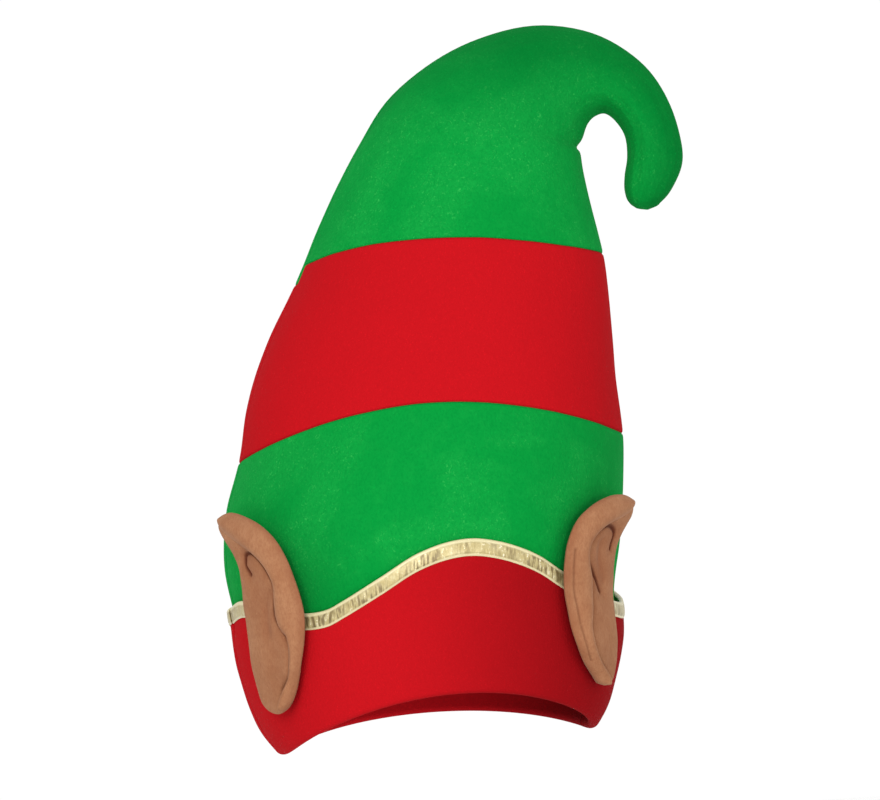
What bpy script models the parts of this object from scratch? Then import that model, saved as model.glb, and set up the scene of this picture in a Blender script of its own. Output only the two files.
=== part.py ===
"""Tall elf hat of striped plush with a turned-up cuff and two padded pointed ears.

The hat is filled out as it is worn, with nothing inside it. The wearer faces -Y, +X is on the
wearer's left and +Z is up. The origin is in the middle of the head opening, at the level of the
front hem. The table and all sizes are in millimetres and become metres when a body is made.

Every cloth is laid out on one surface, hat_surface, by two measures: how far along the hat it is,
and how far it has turned round it from the middle of the front. Layers are that surface moved out.
"""

from collections import namedtuple

import bmesh
import bpy
import numpy as np

MM = 0.001

# Thicknesses and clearances
CLOTH = 1.5
TRIM = 0.8
SEAM = 0.3

# The hat's outer surface. A section runs from its left edge to its right edge as seen from the
# front, bulges by depth to the front and the back, and is set back towards +Y. Along is the height
# up to the pinch under the curl, and from there the distance on the middle line of the curl.
Section = namedtuple("Section", "along left_x left_z right_x right_z depth back")
SECTIONS = (
    Section(-38, -69, -38, 69, -38, 92, 0),
    Section(-28, -77, -28, 77, -28, 94, 0),
    Section(-18, -84, -18, 84, -18, 95.5, 0),
    Section(-6, -89, -6, 89, -6, 96.5, 0),
    Section(14, -93.5, 14, 93.5, 14, 97, 0),
    Section(40, -95, 40, 94, 40, 96.5, 0),
    Section(64, -98.5, 64, 99, 64, 98, 0),
    Section(94, -95.5, 94, 103, 94, 96.5, 1),
    Section(117, -88, 117, 105, 117, 91, 2),
    Section(145, -81, 145, 104, 145, 83, 3),
    Section(175, -69, 175, 104.5, 175, 74, 5),
    Section(205, -52, 205, 103.5, 205, 64.5, 7),
    Section(232, -38.5, 232, 99.5, 232, 56, 9),
    Section(252, -27, 252, 97, 250, 50, 10),
    Section(268, -14.5, 272, 96.5, 259, 46, 11),
    Section(285, 2.5, 295, 95.5, 263, 41, 12),
    Section(300, 25, 311, 98, 267.5, 36, 12),
    Section(317, 51, 322, 101, 274.5, 30, 12),
    Section(335, 81.5, 326, 106, 278.5, 24, 11),
    Section(351, 109, 319, 111, 279, 19, 10),
    Section(366, 129.5, 304, 116, 274, 16, 8),
    Section(381, 141.5, 285.5, 119.5, 265.5, 14.5, 6),
    Section(394, 146.5, 267, 119.5, 255.5, 14, 4),
    Section(406, 147, 251.5, 117.5, 246, 13.5, 3),
    Section(416, 142, 240.5, 117, 238, 12, 2),
    Section(421.3, 138, 235, 118, 233.5, 10.2, 2),
    Section(425, 134, 231.5, 120.5, 230.5, 7.3, 2),
    Section(427, 131, 229.5, 123.5, 229, 3.8, 2),
    Section(427.8, 127.2, 228.3, 127.2, 228.3, 0, 2),
)
ALONG = np.array([section.along for section in SECTIONS], float)
PINCH = 252

# Panels. The two side seams are turned a little round the hat, as it was sewn.
PANEL_TURN = np.radians(8)
COLUMNS = 24
TOP_COLUMNS = 18
LOW_SEAM_SIDE, LOW_SEAM_RISE = 117, 20
TOP_SEAM_SIDE, TOP_SEAM_RISE, TOP_SEAM_LEAN = 210.5, 7, 2.3
TOP_SEAM_MISMATCH = 9
ARCH_SKEW = 1.6

# The cuff: the heights of its folded hem and of its waved upper edge, by the turn round the hat in
# degrees, and the facing inside. The table goes a little past a full turn at both ends.
CUFF_TURN = np.radians(7)
HEM_SIDE, HEM_FRONT_RISE, HEM_BACK_RISE = -26, 26, 10
CuffEdge = namedtuple("CuffEdge", "turn along")
CUFF_EDGE = (
    CuffEdge(-210, 55),
    CuffEdge(-180, 60),
    CuffEdge(-150, 55),
    CuffEdge(-122, 46),
    CuffEdge(-100, 43),
    CuffEdge(-82, 44.8),
    CuffEdge(-69, 47.8),
    CuffEdge(-55, 45),
    CuffEdge(-42, 40),
    CuffEdge(-36, 39.9),
    CuffEdge(-31.8, 41.1),
    CuffEdge(-27.4, 44.2),
    CuffEdge(-15.3, 54.4),
    CuffEdge(-4.3, 64.4),
    CuffEdge(3, 68.2),
    CuffEdge(9, 69.2),
    CuffEdge(17.4, 66.9),
    CuffEdge(23.4, 63.6),
    CuffEdge(29.8, 59),
    CuffEdge(38, 51.3),
    CuffEdge(50, 42),
    CuffEdge(62, 35.5),
    CuffEdge(74, 32.4),
    CuffEdge(86, 32.2),
    CuffEdge(96, 35),
    CuffEdge(106, 39.6),
    CuffEdge(120, 45.5),
    CuffEdge(150, 55),
    CuffEdge(180, 60),
    CuffEdge(210, 55),
)
FACING = 32
HEM_ROWS = (5, 10, 16, 23)
CUFF_SHARES = (0.25, 0.5, 0.75, 0.9, 1)
FOLD_CENTRE = -CLOTH / 2
FOLD_GAP = 0.4
FOLD_INNER = CLOTH / 2 + FOLD_GAP
FOLD_STEPS = 4
CUFF_TIGHT = FOLD_GAP + CLOTH / 2
CUFF_LOOSE = SEAM + TRIM + SEAM + CLOTH / 2 + 0.1
FLARE, FLARE_TURN, FLARE_WIDTH = 2.4, np.radians(100), np.radians(16)

# The gold binding over the cuff's upper edge
BINDING_OUTSIDE = 6.8
BINDING_INSIDE = 4.5
BINDING_STEPS = 4

# Ears. A row runs across an ear from its rear edge to its front edge, each given by its turn from
# the middle of the front in degrees and its height. The fold, from -1 at the rear edge to 1 at the
# front edge, is where the rolled rim starts.
EarRow = namedtuple("EarRow", "rear_turn rear_along front_turn front_along fold")
RIGHT_EAR_ROWS = (
    EarRow(57.8, -6.4, 54.1, -6.4, 0.3),
    EarRow(61, -3.6, 50.4, -3.2, 0.35),
    EarRow(63, 0.4, 47.4, 1.4, 0.4),
    EarRow(63.2, 8, 44.4, 8.7, 0.6),
    EarRow(62.4, 17, 41.7, 16.7, 0.62),
    EarRow(62, 26, 39.8, 24.7, 0.52),
    EarRow(61.9, 36, 38.3, 35.2, 0.25),
    EarRow(61.1, 46, 37.9, 46.7, 0.22),
    EarRow(59.4, 55.1, 38.7, 57.5, 0.32),
    EarRow(59.2, 63.2, 40.6, 67.4, 0.1),
    EarRow(60.9, 70, 43.3, 75.4, -0.22),
    EarRow(63.2, 74.8, 47.9, 81.9, -0.45),
    EarRow(65.2, 78.2, 53.9, 86.1, -0.6),
    EarRow(66.5, 81.3, 59.6, 88.3, -0.68),
    EarRow(66.4, 84.2, 64.4, 88, -0.7),
)
LEFT_EAR_ROWS = (
    EarRow(54.6, -2, 53.2, -2, -0.2),
    EarRow(57.6, -0.5, 50.6, -1, -0.2),
    EarRow(60.1, 2.2, 47.8, 2.3, -0.1),
    EarRow(60.7, 8, 43.6, 8.8, 0.25),
    EarRow(59.7, 17.2, 40.3, 16.5, 0.38),
    EarRow(59.6, 26.1, 38.6, 24.4, 0.32),
    EarRow(60, 36, 38.1, 35, 0.16),
    EarRow(60, 46.1, 37.4, 47.1, 0.1),
    EarRow(59.4, 55.2, 37.4, 58, 0.2),
    EarRow(59.9, 63, 38.5, 68.4, 0.22),
    EarRow(62, 69.3, 41.1, 77.6, 0),
    EarRow(64.6, 74.2, 46.5, 84.1, -0.35),
    EarRow(66.6, 77.7, 53.3, 87.6, -0.55),
    EarRow(66.6, 81.2, 59.2, 88.2, -0.65),
    EarRow(65, 84, 62.9, 87.3, -0.7),
)
EAR_COLUMNS = 12
EAR_STEPS = 20
EAR_TILT, EAR_TILT_ABOUT = np.radians(1.4), 40
EAR_DROP = 1.5
EAR_SEAT_LOW, EAR_SEAT_HIGH = 2.3, 4.5
EAR_SEAT_FROM, EAR_SEAT_TO = 0, 20
EAR_EDGE = 0.8
EAR_BACK = 2.4
EAR_BODY = 1.2
EAR_RIM = 3.4
EAR_BOWL = 0.9
TIP_LIFT, TIP_FROM, TIP_TO = 3, 62, 88
LOBE_LIFT, LOBE_FROM, LOBE_TO = 1.5, 12, -6

COLOURS = {
    "green_plush": ((0.006, 0.33, 0.045, 1), 0.9, 0.0),
    "red_plush": ((0.58, 0.006, 0.012, 1), 0.85, 0.0),
    "gold_trim": ((0.72, 0.6, 0.3, 1), 0.4, 0.7),
    "ear_plush": ((0.5, 0.24, 0.13, 1), 0.9, 0.0),
}


def clear_scene():
    for obj in list(bpy.data.objects):
        bpy.data.objects.remove(obj, do_unlink=True)


def make_material(name):
    colour, roughness, metallic = COLOURS[name]
    material = bpy.data.materials.new(name)
    material.use_nodes = True
    shader = material.node_tree.nodes["Principled BSDF"]
    shader.inputs["Base Color"].default_value = colour
    shader.inputs["Roughness"].default_value = roughness
    shader.inputs["Metallic"].default_value = metallic
    material.diffuse_color = colour
    return material


def ease(start, end, value):
    """0 before start, 1 after end and a smooth step between them."""
    share = np.clip((value - start) / (end - start), 0, 1)
    return share * share * (3 - 2 * share)


def between_rows(at, knots, values):
    """A table's values at any place, on a curve whose slope at a row is that of its neighbours."""
    slopes = np.gradient(values, knots, axis=0)
    low = np.clip(np.searchsorted(knots, at) - 1, 0, len(knots) - 2)
    step = (knots[low + 1] - knots[low])[..., None]
    share = (np.clip(at, knots[0], knots[-1]) - knots[low])[..., None] / step
    return (
        values[low] * (1 + 2 * share) * (1 - share) ** 2
        + values[low + 1] * share**2 * (3 - 2 * share)
        + slopes[low] * step * share * (1 - share) ** 2
        - slopes[low + 1] * step * share**2 * (1 - share)
    )


def hat_surface(along, turn):
    """Points of the hat's outer surface, each section an ellipse in its own plane."""
    table = np.array([section[1:] for section in SECTIONS], float)
    row = between_rows(along, ALONG, table)
    left_x, left_z, right_x, right_z, depth, back = np.moveaxis(row, -1, 0)
    across = np.sin(turn)
    x = (left_x + right_x) / 2 + (right_x - left_x) / 2 * across
    z = (left_z + right_z) / 2 + (right_z - left_z) / 2 * across
    y = back - depth * np.cos(turn)
    return np.stack([x, y, z], axis=-1)


def hat_normal(along, turn):
    """Unit normals of the surface, outwards. At the closed tip it is the middle line's direction."""
    nudge_along, nudge_turn = 0.25, 0.01
    last = ALONG[-1]
    upper, lower = np.minimum(along + nudge_along, last), np.minimum(along, last) - nudge_along
    up = hat_surface(upper, turn) - hat_surface(lower, turn)
    round_it = hat_surface(along, turn + nudge_turn) - hat_surface(along, turn - nudge_turn)
    normal = np.cross(round_it, up)
    middle = hat_surface(upper, 0) + hat_surface(upper, np.pi)
    middle = middle - hat_surface(lower, 0) - hat_surface(lower, np.pi)
    closed = (along >= last - 1e-6)[..., None]
    normal = np.where(closed, middle, normal)
    return normal / np.linalg.norm(normal, axis=-1, keepdims=True)


def layer(along, turn, offset):
    """The surface moved out by an offset."""
    along, turn, offset = np.broadcast_arrays(*(np.asarray(v, float) for v in (along, turn, offset)))
    return hat_surface(along, turn) + hat_normal(along, turn) * offset[..., None]


def arch(turn, side, front_rise, back_rise):
    """A seam's height: it is lowest at the sides and rises to the middle of the front and back."""
    rise = np.where(np.cos(turn) > 0, front_rise, back_rise)
    return side + rise * np.cos(turn) ** 2 - ARCH_SKEW * np.sin(2 * turn)


def low_seam(turn):
    return arch(turn, LOW_SEAM_SIDE, LOW_SEAM_RISE, LOW_SEAM_RISE)


def top_seam(turn, half):
    """The upper stripe's seam. On the back panel it ends lower at the wearer's right side seam."""
    height = arch(turn, TOP_SEAM_SIDE, TOP_SEAM_RISE, TOP_SEAM_RISE) - TOP_SEAM_LEAN * np.sin(turn)
    mismatch = TOP_SEAM_MISMATCH * (1 - np.sin(turn)) / 2 if half == "back" else 0
    return height - mismatch


def hem(turn):
    """The centre of the fold at the cuff's lower edge."""
    return arch(turn - CUFF_TURN, HEM_SIDE, HEM_FRONT_RISE, HEM_BACK_RISE)


def cuff_top(turn):
    """The cuff's waved upper edge, the same each full turn."""
    table = np.array(CUFF_EDGE, float)
    degrees = (np.degrees(turn) + 180) % 360 - 180
    return between_rows(degrees, table[:, 0], table[:, 1:])[..., 0]


def cuff_middle(along, turn):
    """How far the cuff's middle is from the crown. It loosens upwards, most at one side seam."""
    share = (along - hem(turn)) / (cuff_top(turn) - hem(turn))
    flare = FLARE * np.exp(-(((turn - FLARE_TURN) / FLARE_WIDTH) ** 2))
    loose = (CUFF_LOOSE - CUFF_TIGHT) * ease(0.3, 0.8, share) + flare * ease(0.35, 1, share)
    return CUFF_TIGHT + loose


def half_turns(half, columns):
    """Angles across a front or back panel, from side seam to side seam."""
    start = PANEL_TURN - np.pi / 2 if half == "front" else PANEL_TURN + np.pi / 2
    return start + np.linspace(0, np.pi, columns + 1)


def part_halves(points, half):
    """Moves a front or back panel half a seam's width from the other."""
    return points + np.array([0, SEAM / 2 * (-1 if half == "front" else 1), 0])


def closed_between(name, outer, inner, material):
    """One closed body between two sheets of points, joined all round their edges."""
    rows, columns = outer.shape[:2]
    sheet = np.arange(rows * columns).reshape(rows, columns)
    corners = (sheet[:-1, :-1], sheet[:-1, 1:], sheet[1:, 1:], sheet[1:, :-1])
    quads = np.stack(corners, axis=-1).reshape(-1, 4)
    sides = (sheet[0, :-1], sheet[:-1, -1], sheet[-1, :0:-1], sheet[:0:-1, 0])
    edge = np.concatenate(sides)
    after = np.roll(edge, -1)
    shift = rows * columns
    rim = np.stack([edge, edge + shift, after + shift, after], axis=-1)
    faces = np.concatenate([quads, quads[:, ::-1] + shift, rim])
    points = np.concatenate([outer.reshape(-1, 3), inner.reshape(-1, 3)]) * MM

    mesh = bpy.data.meshes.new(name)
    mesh.from_pydata(points.tolist(), [], faces.tolist())
    body = bmesh.new()
    body.from_mesh(mesh)
    bmesh.ops.remove_doubles(body, verts=body.verts, dist=1e-6)
    bmesh.ops.recalc_face_normals(body, faces=body.faces)
    body.to_mesh(mesh)
    body.free()
    mesh.shade_smooth()
    mesh.set_sharp_from_angle(angle=np.radians(40))
    mesh.materials.append(material)
    obj = bpy.data.objects.new(name, mesh)
    bpy.data.collections["elf_hat"].objects.link(obj)
    return obj


def wall(name, along, turn, half, material):
    """A crown panel: a wall of cloth whose outer face is the hat's surface."""
    outer = part_halves(layer(along, turn, 0), half)
    inner = part_halves(layer(along, turn, -CLOTH), half)
    return closed_between(name, outer, inner, material)


def cuff_heights(turn):
    """Rows up the cuff from just over its fold to its waved edge. The crown inside has the same."""
    edge, top = hem(turn), cuff_top(turn)
    near_fold = [edge + height for height in HEM_ROWS]
    return near_fold + [near_fold[-1] + share * (top - near_fold[-1]) for share in CUFF_SHARES]


def make_low_panel(half, material):
    turn = half_turns(half, COLUMNS)
    foot, head = hem(turn) + SEAM, low_seam(turn) - SEAM / 2
    under_cuff = cuff_heights(turn)
    above = [under_cuff[-1] + share * (head - under_cuff[-1]) for share in (0.33, 0.67, 1)]
    wall(f"crown_low_{half}", np.array([foot] + under_cuff + above), turn[None, :], half, material)


def make_middle_panel(half, material):
    turn = half_turns(half, COLUMNS)
    share = np.linspace(0, 1, 5)[:, None]
    foot, head = low_seam(turn) + SEAM / 2, top_seam(turn, half) - SEAM / 2
    wall(f"crown_mid_{half}", foot + share * (head - foot), turn[None, :], half, material)


def make_top_panel(half, material):
    """The upper stripe and the curl, in one panel that closes at the tip."""
    turn = half_turns(half, TOP_COLUMNS)
    foot = top_seam(turn, half) + SEAM / 2
    knots = ALONG[ALONG >= PINCH]
    coarse = knots[knots < 416]
    rows = np.sort(np.concatenate([[225, 239], knots, (coarse[:-1] + coarse[1:]) / 2]))
    along = np.concatenate([foot[None, :], np.repeat(rows[:, None], len(turn), axis=1)])
    wall(f"crown_top_{half}", along, turn[None, :], half, material)


def folded(turn, radius):
    """One face of the cuff's cloth: down the outside, round the fold and up the inside."""
    edge = hem(turn)
    side = radius - (FOLD_INNER + CLOTH / 2)
    heights = reversed(cuff_heights(turn))
    points = [layer(height, turn, cuff_middle(height, turn) + side) for height in heights]
    for angle in np.linspace(0, np.pi, FOLD_STEPS + 1):
        below, out = radius * np.sin(angle), radius * np.cos(angle)
        points.append(layer(edge - below, turn, FOLD_CENTRE + out))
    for height in (*HEM_ROWS, FACING):
        points.append(layer(edge + height, turn, FOLD_CENTRE - radius))
    return np.array(points)


def make_cuff(half, material):
    turn = half_turns(half, COLUMNS)
    outer = part_halves(folded(turn, FOLD_INNER + CLOTH), half)
    inner = part_halves(folded(turn, FOLD_INNER), half)
    closed_between(f"cuff_{half}", outer, inner, material)


def bound(turn, radius):
    """One face of the binding: up the outside of the cuff, over its edge and down inside."""
    top = cuff_top(turn)
    middle = cuff_middle(top, turn)
    heights = [(-BINDING_OUTSIDE, radius), (-BINDING_OUTSIDE / 2, radius)]
    for angle in np.linspace(0, np.pi, BINDING_STEPS + 1):
        heights.append((radius * np.sin(angle), radius * np.cos(angle)))
    heights.append((-BINDING_INSIDE, -radius))
    points = []
    for above, out in heights:
        near_top = cuff_middle(top + min(above, 0), turn)
        points.append(layer(top + above, turn, np.where(above < 0, near_top, middle) + out))
    return np.array(points)


def make_binding(half, material):
    turn = half_turns(half, COLUMNS)
    inside = CLOTH / 2 + SEAM
    outer = part_halves(bound(turn, inside + TRIM), half)
    inner = part_halves(bound(turn, inside), half)
    closed_between(f"binding_{half}", outer, inner, material)


def ear_grid(rows):
    """Turn and height at each point of an ear, with its shares across and along and the fold."""
    table = np.array(rows, float)
    knots = np.arange(len(table), dtype=float)
    at = np.linspace(0, len(table) - 1, EAR_STEPS + 1)
    columns = between_rows(at, knots, table).T[..., None]
    rear_turn, rear_along, front_turn, front_along, fold = columns
    across = np.sin(np.linspace(-np.pi / 2, np.pi / 2, EAR_COLUMNS + 1))[None, :]
    share = (across + 1) / 2
    turn = np.radians(rear_turn + (front_turn - rear_turn) * share)
    along = rear_along + (front_along - rear_along) * share
    length = np.linspace(-1, 1, EAR_STEPS + 1)[:, None]
    return turn, along, across, length, fold


def ear_faces(rows):
    """Offsets of an ear's back face, its seam and its front face from the hat's surface."""
    turn, along, across, length, fold = ear_grid(rows)
    plump = np.sqrt(np.clip(1 - across**4, 0, 1) * np.clip(1 - length**8, 0, 1))
    seat = EAR_SEAT_LOW + (EAR_SEAT_HIGH - EAR_SEAT_LOW) * ease(EAR_SEAT_FROM, EAR_SEAT_TO, along)
    seat = seat + TIP_LIFT * ease(TIP_FROM, TIP_TO, along)
    seat = seat + LOBE_LIFT * ease(LOBE_FROM, LOBE_TO, along)
    rim = np.sin(np.pi * np.clip((across - fold) / (1 - fold), 0, 1))
    bowl = np.exp(-(((across - fold + 0.6) / 0.45) ** 2)) * ease(-0.95, -0.4, length)
    bowl = bowl * (1 - ease(0.3, 0.7, length))
    seam = seat + EAR_EDGE + EAR_BACK + SEAM / 2
    back = seam - SEAM / 2 - EAR_EDGE - EAR_BACK * plump
    swell = EAR_BODY * plump + EAR_RIM * rim * plump - EAR_BOWL * bowl
    front = seam + SEAM / 2 + EAR_EDGE + swell
    return turn, along, back, seam, front


def make_ear(side, sign, rows, material):
    """A padded ear in two pieces that meet in a seam round its edge. Sign is -1 at the right."""
    turn, along, back, seam, front = ear_faces(rows)
    turn = sign * turn - EAR_TILT * (along - EAR_TILT_ABOUT) / EAR_TILT_ABOUT
    along = along - sign * EAR_DROP
    place = {
        "front": (front, seam + SEAM / 2),
        "back": (seam - SEAM / 2, back),
    }
    for face, (outer, inner) in place.items():
        sheets = [part_halves(layer(along, turn, offset), "front") for offset in (outer, inner)]
        closed_between(f"ear_{side}_{face}", *sheets, material)


def main():
    clear_scene()
    hat = bpy.data.collections.new("elf_hat")
    bpy.context.scene.collection.children.link(hat)
    materials = {name: make_material(name) for name in COLOURS}
    for half in ("front", "back"):
        make_low_panel(half, materials["green_plush"])
        make_middle_panel(half, materials["red_plush"])
        make_top_panel(half, materials["green_plush"])
        make_cuff(half, materials["red_plush"])
        make_binding(half, materials["gold_trim"])
    for side, sign, rows in (("right", -1, RIGHT_EAR_ROWS), ("left", 1, LEFT_EAR_ROWS)):
        make_ear(side, sign, rows, materials["ear_plush"])


main()
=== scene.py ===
"""The finish of a tall plush elf hat, laid out as a Blender add-on and run as a script.

The hat is striped green and red velour with a curled top, a turned-up cuff, a gold binding and two
padded ears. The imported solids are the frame, and each piece takes the place of its own solids. The
seam allowances inside the crown have none. Sizes in the tables are millimetres, and points become
metres when a mesh is made.

Every cloth lies on one surface, hat_surface, measured by its place along the hat and by its turn
from the middle of the front. The wearer faces -Y and the top curls to +X.
"""

from collections import namedtuple

import bmesh
import bpy
import numpy as np
from mathutils import Matrix, Vector


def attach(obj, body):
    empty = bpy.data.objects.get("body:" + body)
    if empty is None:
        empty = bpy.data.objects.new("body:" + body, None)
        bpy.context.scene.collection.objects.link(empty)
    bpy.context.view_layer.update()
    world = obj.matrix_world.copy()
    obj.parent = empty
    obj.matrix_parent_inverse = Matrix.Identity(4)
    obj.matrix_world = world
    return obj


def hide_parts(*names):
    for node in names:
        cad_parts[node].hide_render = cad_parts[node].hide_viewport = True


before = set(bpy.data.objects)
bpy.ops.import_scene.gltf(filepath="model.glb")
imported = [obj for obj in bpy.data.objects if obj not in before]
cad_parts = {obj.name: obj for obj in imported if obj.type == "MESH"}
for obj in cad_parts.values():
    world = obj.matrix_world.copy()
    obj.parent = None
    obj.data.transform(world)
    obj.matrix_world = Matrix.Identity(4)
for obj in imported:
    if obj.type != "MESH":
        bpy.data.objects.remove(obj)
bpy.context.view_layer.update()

bl_info = {
    "name": "Plush elf hat",
    "version": (1, 0, 0),
    "blender": (4, 5, 0),
    "location": "View3D > Sidebar > Elf hat",
    "description": "Dresses the solids of a plush elf hat in cloth, trim and padded ears",
    "category": "Object",
}

MM = 0.001


def table_of(kind, *rows):
    """A table's rows, with the names of their columns."""
    return tuple(kind(*row) for row in rows)


# The hat's outer surface. A section runs from its left edge to its right edge as seen from the
# front, bulges by depth to the front and the back, and is set back towards +Y.
Section = namedtuple("Section", "along left_x left_z right_x right_z depth back")
SECTIONS = (
    Section(-38, -69, -38, 69, -38, 92, 0),
    Section(-28, -77, -28, 77, -28, 94, 0),
    Section(-18, -84, -18, 84, -18, 95.5, 0),
    Section(-6, -89, -6, 89, -6, 96.5, 0),
    Section(14, -93.5, 14, 93.5, 14, 97, 0),
    Section(40, -95, 40, 94, 40, 96.5, 0),
    Section(64, -98.5, 64, 99, 64, 98, 0),
    Section(94, -95.5, 94, 103, 94, 96.5, 1),
    Section(117, -88, 117, 105, 117, 91, 2),
    Section(145, -81, 145, 104, 145, 83, 3),
    Section(175, -69, 175, 104.5, 175, 74, 5),
    Section(205, -52, 205, 103.5, 205, 64.5, 7),
    Section(232, -38.5, 232, 99.5, 232, 56, 9),
    Section(252, -27, 252, 97, 250, 50, 10),
    Section(268, -14.5, 272, 96.5, 259, 46, 11),
    Section(285, 2.5, 295, 95.5, 263, 41, 12),
    Section(300, 25, 311, 98, 267.5, 36, 12),
    Section(317, 51, 322, 101, 274.5, 30, 12),
    Section(335, 81.5, 326, 106, 278.5, 24, 11),
    Section(351, 109, 319, 111, 279, 19, 10),
    Section(366, 129.5, 304, 116, 274, 16, 8),
    Section(381, 141.5, 285.5, 119.5, 265.5, 14.5, 6),
    Section(394, 146.5, 267, 119.5, 255.5, 14, 4),
    Section(406, 147, 251.5, 117.5, 246, 13.5, 3),
    Section(416, 142, 240.5, 117, 238, 12, 2),
    Section(421.3, 138, 235, 118, 233.5, 10.2, 2),
    Section(425, 134, 231.5, 120.5, 230.5, 7.3, 2),
    Section(427, 131, 229.5, 123.5, 229, 3.8, 2),
    Section(427.8, 127.2, 228.3, 127.2, 228.3, 0, 2),
)
ALONG = np.array([section.along for section in SECTIONS], float)
PINCH = 284
PINCH_TURN = np.radians(90)

# Seams between the stripes, the side seams' turn and the cuff, as the solids have them
PANEL_TURN = np.radians(8)
LOW_SEAM_SIDE, LOW_SEAM_RISE = 117, 20
TOP_SEAM_SIDE, TOP_SEAM_RISE, TOP_SEAM_LEAN = 210.5, 7, 2.3
TOP_SEAM_MISMATCH = 9
ARCH_SKEW = 1.6
CUFF_TURN = np.radians(7)
HEM_SIDE, HEM_FRONT_RISE, HEM_BACK_RISE = -26, 26, 10
# The waved upper edge by its turn in degrees, a little past a full turn at both ends
CuffEdge = namedtuple("CuffEdge", "turn along")
CUFF_EDGE = table_of(
    CuffEdge,
    (-210, 55), (-180, 60), (-150, 55), (-122, 46), (-100, 43), (-82, 44.8), (-69, 47.8),
    (-55, 45), (-42, 40), (-36, 39.9), (-31.8, 41.1), (-27.4, 44.2), (-15.3, 54.4),
    (-4.3, 64.4), (3, 68.2), (9, 69.2), (17.4, 66.9), (23.4, 63.6), (29.8, 59), (38, 51.3),
    (50, 42), (62, 35.5), (74, 32.4), (86, 32.2), (96, 35), (106, 39.6), (120, 45.5), (150, 55),
    (180, 60), (210, 55),
)
FACING = 32
FLARE, FLARE_TURN, FLARE_WIDTH = 2.4, np.radians(100), np.radians(16)
TRIM = 0.8
FOLD_GAP = 0.4
# Between the edges of two panels at a seam, and between the front and back halves
SEAM_GAP, HALVES_GAP = 0.05, 0.08
# Lengths that the grids divide: half the girth, each stripe from seam to seam, and the cuff
HALF_GIRTH, LOW_LENGTH, MIDDLE_LENGTH, TOP_LENGTH, CUFF_LENGTH = 310, 160, 96, 280, 100
HEAD_RADIUS = 96
BINDING_OUTSIDE = 6.8
BINDING_INSIDE = 4.5

# Ears. A row runs across an ear from its rear edge to its front edge, each given by its turn from
# the middle of the front in degrees and its height. The fold, from -1 at the rear edge to 1 at the
# front edge, is where the rolled rim starts.
EarRow = namedtuple("EarRow", "rear_turn rear_along front_turn front_along fold")
RIGHT_EAR_ROWS = (
    EarRow(57.8, -6.4, 54.1, -6.4, 0.3),
    EarRow(61, -3.6, 50.4, -3.2, 0.35),
    EarRow(63, 0.4, 47.4, 1.4, 0.4),
    EarRow(63.2, 8, 44.4, 8.7, 0.6),
    EarRow(62.4, 17, 41.7, 16.7, 0.62),
    EarRow(62, 26, 39.8, 24.7, 0.52),
    EarRow(61.9, 36, 38.3, 35.2, 0.25),
    EarRow(61.1, 46, 37.9, 46.7, 0.22),
    EarRow(59.4, 55.1, 38.7, 57.5, 0.32),
    EarRow(59.2, 63.2, 40.6, 67.4, 0.1),
    EarRow(60.9, 70, 43.3, 75.4, -0.22),
    EarRow(63.2, 74.8, 47.9, 81.9, -0.45),
    EarRow(65.2, 78.2, 53.9, 86.1, -0.6),
    EarRow(66.5, 81.3, 59.6, 88.3, -0.68),
    EarRow(66.4, 84.2, 64.4, 88, -0.7),
)
LEFT_EAR_ROWS = (
    EarRow(54.4, -2.4, 53.4, -2.4, -0.2),
    EarRow(57.2, -1.3, 50.9, -1.2, -0.2),
    EarRow(59.8, 1.5, 48.2, 2, -0.1),
    EarRow(60.7, 8, 43.6, 8.8, 0.25),
    EarRow(59.7, 17.2, 40.3, 16.5, 0.38),
    EarRow(59.6, 26.1, 38.6, 24.4, 0.32),
    EarRow(60, 36, 38.1, 35, 0.16),
    EarRow(60, 46.1, 37.4, 47.1, 0.1),
    EarRow(59.4, 55.2, 37.4, 58, 0.2),
    EarRow(59.9, 63, 38.5, 68.4, 0.22),
    EarRow(62, 69.3, 41.1, 77.6, 0),
    EarRow(64.6, 74.2, 46.5, 84.1, -0.35),
    EarRow(66.6, 77.7, 53.3, 87.6, -0.55),
    EarRow(66.6, 81.2, 59.2, 88.2, -0.65),
    EarRow(65, 84, 62.9, 87.3, -0.7),
)
EAR_TILT, EAR_TILT_ABOUT = np.radians(1.4), 40
EAR_DROP = 1.5
EAR_WIDTH = 42

# Creases of the ears, each point by its share of the way across from the rear edge and its height.
# A stitched crease is drawn in along a sharp dark line, and a valley is broad and soft.
Crease = namedtuple("Crease", "share along")
RIGHT_EAR_STITCHED = table_of(
    Crease,
    (0.27, 60.3), (0.21, 64.5), (0.3, 69), (0.45, 69.5), (0.55, 65.3), (0.67, 56.5), (0.66, 51),
    (0.59, 42), (0.63, 36.2), (0.77, 28.6),
)
RIGHT_EAR_ROLLED = table_of(
    Crease,
    (0.77, 28.6), (0.84, 22.5), (0.87, 15.5), (0.86, 9.8), (0.72, 4.5),
)
RIGHT_EAR_VALLEY = table_of(Crease, (0.6, 51.5), (0.5, 47.5), (0.45, 38.8), (0.46, 31.4))
LEFT_EAR_STITCHED = table_of(
    Crease,
    (0.19, 63), (0.22, 70), (0.37, 73.2), (0.5, 73.6), (0.6, 70.5), (0.65, 66.4), (0.66, 62),
    (0.62, 57.6), (0.5, 52.6), (0.42, 47.8), (0.35, 42),
)
LEFT_EAR_ROLLED = table_of(
    Crease,
    (0.53, 50), (0.53, 44.1), (0.6, 32.3), (0.68, 23), (0.7, 16.4), (0.68, 10.7), (0.55, 5.3),
    (0.34, 0.8),
)
LEFT_EAR_VALLEY = table_of(Crease, (0.45, 66), (0.4, 58), (0.3, 48))
LEFT_EAR_SEAM = table_of(
    Crease,
    (0.91, 64), (0.9, 50), (0.9, 36), (0.9, 22), (0.92, 10),
)


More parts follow.
